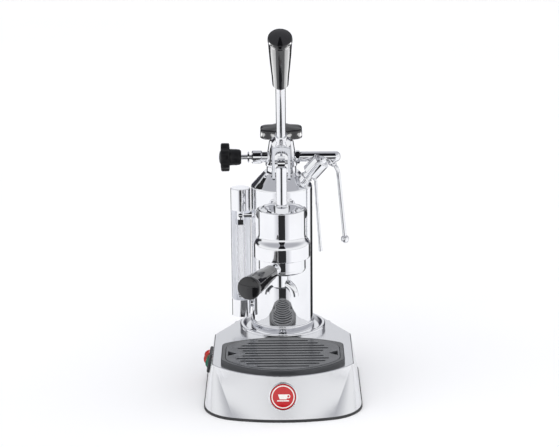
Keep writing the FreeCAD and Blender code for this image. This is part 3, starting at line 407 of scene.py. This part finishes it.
def guard_chrome():
    """Inside = 1 - step(distance from the guard's axis)."""
    low, high = map(np.array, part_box("gauge_guard"))
    middle = 0.5 * (low + high)
    radius = 0.5 * (high[0] - low[0])
    f = Finish("guard_chrome")
    flat = f.node("ShaderNodeVectorMath", {"operation": "MULTIPLY_ADD"},
                  {0: f.where(), 1: (1.0, 1.0, 0.0), 2: (-middle[0], -middle[1], 0.0)})
    from_axis = f.node("ShaderNodeVectorMath", {"operation": "LENGTH"}, {0: flat}, out="Value")
    inside = 1.0 - from_axis.step(radius - WALL_FROM, radius - WALL_TO)
    return f.set(Base_Color=f.colour(inside, rgb(*CHROME_TINT), rgb(0.86, 0.865, 0.88)),
                 Metallic=1.0 - 0.6 * inside,
                 Roughness=0.02 + 0.02 * hairlines(f, UPRIGHT) + 0.22 * inside,
                 Emission_Color=f.colour(inside, rgb(0.0, 0.0, 0.0), rgb(0.20, 0.205, 0.22)),
                 Emission_Strength=1.0)


GUARD = guard_chrome()
print("guard nodes:", len(GUARD.node_tree.nodes))

# %% [markdown]
# ## Pressed and brushed steel
# The base is pressed from sheet and finished with a fine satin that runs one way. Stretching a
# noise along one axis gives long streaks; they go into roughness, and very slightly into the
# surface.

# %% Satin steel
def satin_steel(name, tint, rough, stretch):
    f = Finish(name)
    streaks = f.noise(220.0, 4.0, stretch=stretch)
    f.bump(streaks, 0.03, 0.0004)
    return f.set(Base_Color=f.colour(f.noise(9.0, 2.0), scaled(tint, 0.96), rgb(*tint)),
                 Metallic=1.0, Roughness=rough + 0.10 * streaks)


BASE_STEEL = satin_steel("satin_base_steel", (0.83, 0.835, 0.85), 0.16, (1.0, 1.0, 30.0))
INNER_STEEL = satin_steel("ground_steel", (0.66, 0.66, 0.67), 0.28, (20.0, 20.0, 1.0))
ZINC = satin_steel("zinc_plate", (0.62, 0.63, 0.62), 0.35, (3.0, 3.0, 3.0))
BRASS = satin_steel("turned_brass", (0.80, 0.60, 0.28), 0.22, (1.0, 1.0, 25.0))
print("satin steel nodes:", len(BASE_STEEL.node_tree.nodes))

# %% [markdown]
# ## Mouldings
# The handles are black phenolic: a hard gloss with a faint orange-peel ripple and fine brown-grey
# flow marks. The tray and the knobs are softer to the eye, because their moulds are spark-eroded,
# which leaves a fine even grain and a broad sheen. Two helpers cover every plastic, enamel and
# rubber here, and whatever is the same all over a piece goes straight onto the shader's socket.

# %% Two kinds of moulding
def flow_marks(f):
    return f.noise(60.0, 5.0, stretch=(1.0, 1.0, 0.4)).step(0.5, 0.85)


def gloss_moulding(name, tint, rough=0.10, ripple=0.05, flow=0.02, **more):
    f = Finish(name)
    marks = flow_marks(f)
    f.bump(f.noise(380.0, 1.0), ripple, 0.0003)
    return f.set(Base_Color=f.colour(marks, rgb(*tint), rgb(*[c + flow for c in tint])),
                 Roughness=rough + 0.06 * marks, Coat_Weight=0.35, Coat_Roughness=0.05, **more)


def grained_moulding(name, tint, rough=0.42, grain=0.25, scale=2200.0, **more):
    f = Finish(name)
    pits = f.node("ShaderNodeTexVoronoi", {"feature": "SMOOTH_F1"},
                  {"Vector": f.where(), "Scale": scale})
    wear = f.noise(45.0, 4.0).step(0.5, 0.8)
    f.bump(pits, grain, 0.0002)
    return f.set(Base_Color=f.colour(wear, rgb(*tint), scaled(tint, 1.35)),
                 Roughness=rough - 0.08 * wear, **more)


PHENOLIC = gloss_moulding("black_phenolic", (0.006, 0.006, 0.007), rough=0.07, ripple=0.02,
                          flow=0.005, IOR=1.55)
KNOB = grained_moulding("knob_moulding", (0.005, 0.005, 0.006), rough=0.36, grain=0.05,
                        Specular_IOR_Level=0.28)
print("gloss nodes:", len(PHENOLIC.node_tree.nodes), "grained nodes:", len(KNOB.node_tree.nodes))

# %% [markdown]
# ## The filler cap's knob
# Hands polish the sides of the cap and leave its top matt. A clear coat over a dull body shows this
# well: the coat's weight is 1 down the sides, and fades out where the height passes the top edge.

# %% Cap knob finish
FADE_FROM, FADE_TO = 0.0034, 0.0022        # metres under the top of the knob


def cap_moulding():
    """Side = 1 - step(height); the coat and the roughness both follow it."""
    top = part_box("cap_knob")[1][2]
    f = Finish("cap_knob_moulding")
    height = f.split(f.where())[2]
    side = 1.0 - height.step(top - FADE_FROM, top - FADE_TO)
    f.bump(f.noise(380.0, 1.0), 0.02, 0.0003)
    return f.set(Base_Color=f.colour(flow_marks(f), rgb(0.006, 0.006, 0.007),
                                     rgb(0.011, 0.011, 0.012)),
                 Roughness=0.34 - 0.20 * side, Specular_IOR_Level=0.15,
                 Coat_Weight=side, Coat_Roughness=0.08, Coat_IOR=1.6)


CAP_KNOB = cap_moulding()
print("cap knob nodes:", len(CAP_KNOB.node_tree.nodes))

# %% [markdown]
# ## Enamels, keys, tray and seals
# These are the same two kinds of moulding in other colours. The sight glass is clear, with a faint
# smear of roughness so that it doesn't look like a hole.

# %% Coloured mouldings and glass
GREY_CAP = gloss_moulding("grey_cap", (0.055, 0.060, 0.068), rough=0.28, flow=0.01)
ENAMEL_RED = gloss_moulding("red_enamel", (0.50, 0.012, 0.016), rough=0.06, ripple=0.02)
ENAMEL_WHITE = gloss_moulding("white_enamel", (0.86, 0.84, 0.80), rough=0.08, ripple=0.02)
RED_KEY = gloss_moulding("red_key", (0.62, 0.030, 0.018), rough=0.16, flow=0.04)
GREEN_KEY = gloss_moulding("green_key", (0.008, 0.150, 0.085), rough=0.16)
TRAY = grained_moulding("tray_plastic", (0.040, 0.042, 0.046), rough=0.24, grain=0.10)
GRATE = grained_moulding("grate_plastic", (0.070, 0.073, 0.080), rough=0.22, grain=0.10)
BLACK_PLASTIC = grained_moulding("black_housing", (0.022, 0.022, 0.024), rough=0.40)
CERAMIC = grained_moulding("glazed_insulator", (0.80, 0.78, 0.72), rough=0.25, grain=0.05)
RUBBER = grained_moulding("edging_rubber", (0.030, 0.030, 0.031), rough=0.62, scale=1200.0)
SEAL = grained_moulding("seal_rubber", (0.045, 0.030, 0.022), rough=0.55, scale=1500.0)

glass = Finish("gauge_glass")
smear = glass.noise(70.0, 3.0).step(0.5, 0.8)
GLASS = glass.set(Base_Color=rgb(0.99, 0.99, 0.99), Roughness=0.03 * smear,
                  Transmission_Weight=1.0, IOR=1.47)
print("materials so far:", len(bpy.data.materials))

# %% [markdown]
# ## Lobed knobs
# The filler cap and the steam valve have moulded knobs with six soft lobes. A solid with scallops
# cut out of it has sharp lines where they meet its rounded edge, and a real mould has none. So the
# knob is one smooth surface: every ring follows the lobed outline, drawn in or let out by the
# profile.

# %% Lobed surface
def closed_faces(rows, columns):
    """Faces of a closed grid whose first and last rows have shrunk to one point each."""
    i = 1 + np.arange(rows - 3)[:, None] * columns
    j = np.arange(columns)[None, :]
    k = (j + 1) % columns
    quads = np.stack([i + j, i + columns + j, i + columns + k, i + k], axis=-1).reshape(-1, 4)
    last = 1 + (rows - 3) * columns
    tip = last + columns
    first_fan = np.stack([0 * j[0], 1 + j[0], 1 + k[0]], axis=-1)
    last_fan = np.stack([last + j[0], tip + 0 * j[0], last + k[0]], axis=-1)
    return quads.tolist() + first_fan.tolist() + last_fan.tolist()


def lobed_knob(radius, height, lobes, bite, crown, edge, stem, columns=180):
    """Outline(u) = radius - bite (half of 1 - cos(lobes u)) ^ 1.3. A ring of the profile lies at
    share (outline - edge) + spread, so share 1 keeps the lobes and share 0 is a plain circle. The
    profile is a dome whose height falls with the share squared, a quarter circle of the edge radius
    at the top and one at the bottom, then the stem's own circles."""
    u = np.linspace(0.0, 2 * np.pi, columns, endpoint=False)
    outline = radius - bite * (0.5 - 0.5 * np.cos(lobes * u)) ** 1.3
    t, q = np.linspace(0.0, 1.0, 14), np.linspace(0.0, np.pi / 2, 9)[1:]
    share = np.concatenate([t, 0 * q + 1, 0 * q + 1, 0 * stem[:, 0]])
    spread = np.concatenate([0 * t, edge * np.sin(q), edge * np.cos(q), stem[:, 0]])
    level = np.concatenate([height + crown * (1 - t ** 2), height - edge * (1 - np.cos(q)),
                            edge * (1 - np.sin(q)), stem[:, 1]])
    r = share[:, None] * (outline[None, :] - edge) + spread[:, None]
    grid = np.stack([r * np.cos(u), r * np.sin(u), level[:, None] + 0 * r], axis=-1)
    points = np.vstack([grid[:1, 0], grid[1:-1].reshape(-1, 3), grid[-1:, 0]])
    return points, closed_faces(len(level), columns)


def circle_stem(*rings):
    """Rings of (radius, height), each run between them held by a ring just inside each of its ends,
    so that smooth shading keeps the corners of the stem crisp."""
    rings = np.array(rings, float)
    near = rings[:-1] + 0.03 * (rings[1:] - rings[:-1])
    far = rings[1:] - 0.03 * (rings[1:] - rings[:-1])
    return np.vstack([np.stack([near, far], axis=1).reshape(-1, 2), rings[-1:]])


def place_knob(name, node, body, finish, surface, axis_z, axis_x, origin):
    """The knob's own z goes along axis_z and its first lobe along axis_x, from the origin."""
    points, faces = surface
    axis_z, axis_x = np.array(axis_z, float), np.array(axis_x, float)
    turned = points @ np.stack([axis_x, np.cross(axis_z, axis_x), axis_z]) + np.array(origin)
    piece = new_mesh(name, turned, faces, finish)
    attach(piece, body)
    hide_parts(node)
    print(name, "faces:", len(faces))


# %% [markdown]
# ## Placing the two knobs
# Each knob fills the box of the solid that it replaces: the outline's radius and the height come
# from that box, and only the small roundings and the stem's steps are given here. The cap stands
# upright on its hub; the valve's knob points to the left, away from the machine.

# %% Filler cap knob
low, high = map(np.array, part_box("cap_knob"))
middle = 0.5 * (low + high)
hub, crown = 0.0036, 0.0016
cap = lobed_knob(radius=0.5 * (high[1] - low[1]), height=high[2] - low[2] - hub - crown, lobes=6,
                 bite=0.0042, crown=crown, edge=0.0026,
                 stem=circle_stem((0.0178, 0.0), (0.0156, -0.0024), (0.0148, -hub),
                                  (0.0071, -hub), (0.0071, 0.0042), (0.0, 0.0042)))
place_knob("filler_cap_knob", "cap_knob", "cap_knob", CAP_KNOB, cap, (0, 0, 1), (0, -1, 0),
           (middle[0], middle[1], low[2] + hub))

# %% Steam valve knob
low, high = map(np.array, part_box("steam_knob"))
button_low, button_high = map(np.array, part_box("knob_button"))
axle = 0.5 * (button_low + button_high)
stem_length, crown = 0.0152, 0.0004
valve = lobed_knob(radius=high[2] - axle[2], height=high[0] - low[0] - stem_length - crown, lobes=6,
                   bite=0.0036, crown=crown, edge=0.0022,
                   stem=circle_stem((0.0107, 0.0), (0.0106, -0.009), (0.0101, -0.0128),
                                    (0.0082, -stem_length), (0.0034, -stem_length),
                                    (0.0034, 0.0046), (0.0, 0.0046)))
place_knob("steam_valve_knob", "steam_knob", "steam_knob", KNOB, valve, (-1, 0, 0), (0, 0, 1),
           (high[0] - stem_length, axle[1], axle[2]))

# %% [markdown]
# ## Finishes onto the parts
# Every part keeps its solid from the CAD model and takes one of the finishes above. The black lever
# grip and the filler cap's knob are also put where the strip lamps can light them.

# %% Assign the finishes
WEARS = {
    CHROME: "badge_bezel boiler_shell boiler_flange neck_casting valve_body pipe_nut safety_body "
            "safety_cap upper_fitting lower_fitting boiler_stub group_bolts group_body gland_nut "
            "lever_fork portafilter_body spout handle_ferrule wand_tip discharge_tip",
    GUARD: "gauge_guard",
    CHROME_ROD: "valve_stem steam_pipe steam_wand discharge_tube piston_rod lever_rod fulcrum_pin "
                "piston_pin",
    BASE_STEEL: "base_shell", ZINC: "base_plate plate_screws", BRASS: "lock_ring cap_plug piston",
    INNER_STEEL: "heating_element relief_poppet cylinder_sleeve shower_screen filter_basket",
    PHENOLIC: "lever_grip handle_grip", KNOB: "cap_knob steam_knob", GREY_CAP: "knob_button",
    ENAMEL_RED: "badge_disc", ENAMEL_WHITE: "badge_inlay",
    RED_KEY: "rocker_red", GREEN_KEY: "rocker_green",
    TRAY: "drip_tray", GRATE: "drip_grate", BLACK_PLASTIC: "switch_housing cord_gland",
    CERAMIC: "terminal_block", RUBBER: "base_edging",
    SEAL: "cap_seal joint_gasket group_seal piston_seals", GLASS: "gauge_glass"}


def wear(part, material):
    """Every slot of the part's mesh takes the one material."""
    slots = NODES[part].data.materials
    if not slots:
        slots.append(material)
    for i in range(len(slots)):
        slots[i] = material


for material, names in WEARS.items():
    for part in names.split():
        wear(part, material)
for piece in (NODES["lever_grip"], bpy.data.objects["filler_cap_knob"]):
    glossy_black.objects.link(piece)
left_out = sorted(set(NODES) - {p for names in WEARS.values() for p in names.split()})
print("parts without a finish:", left_out)
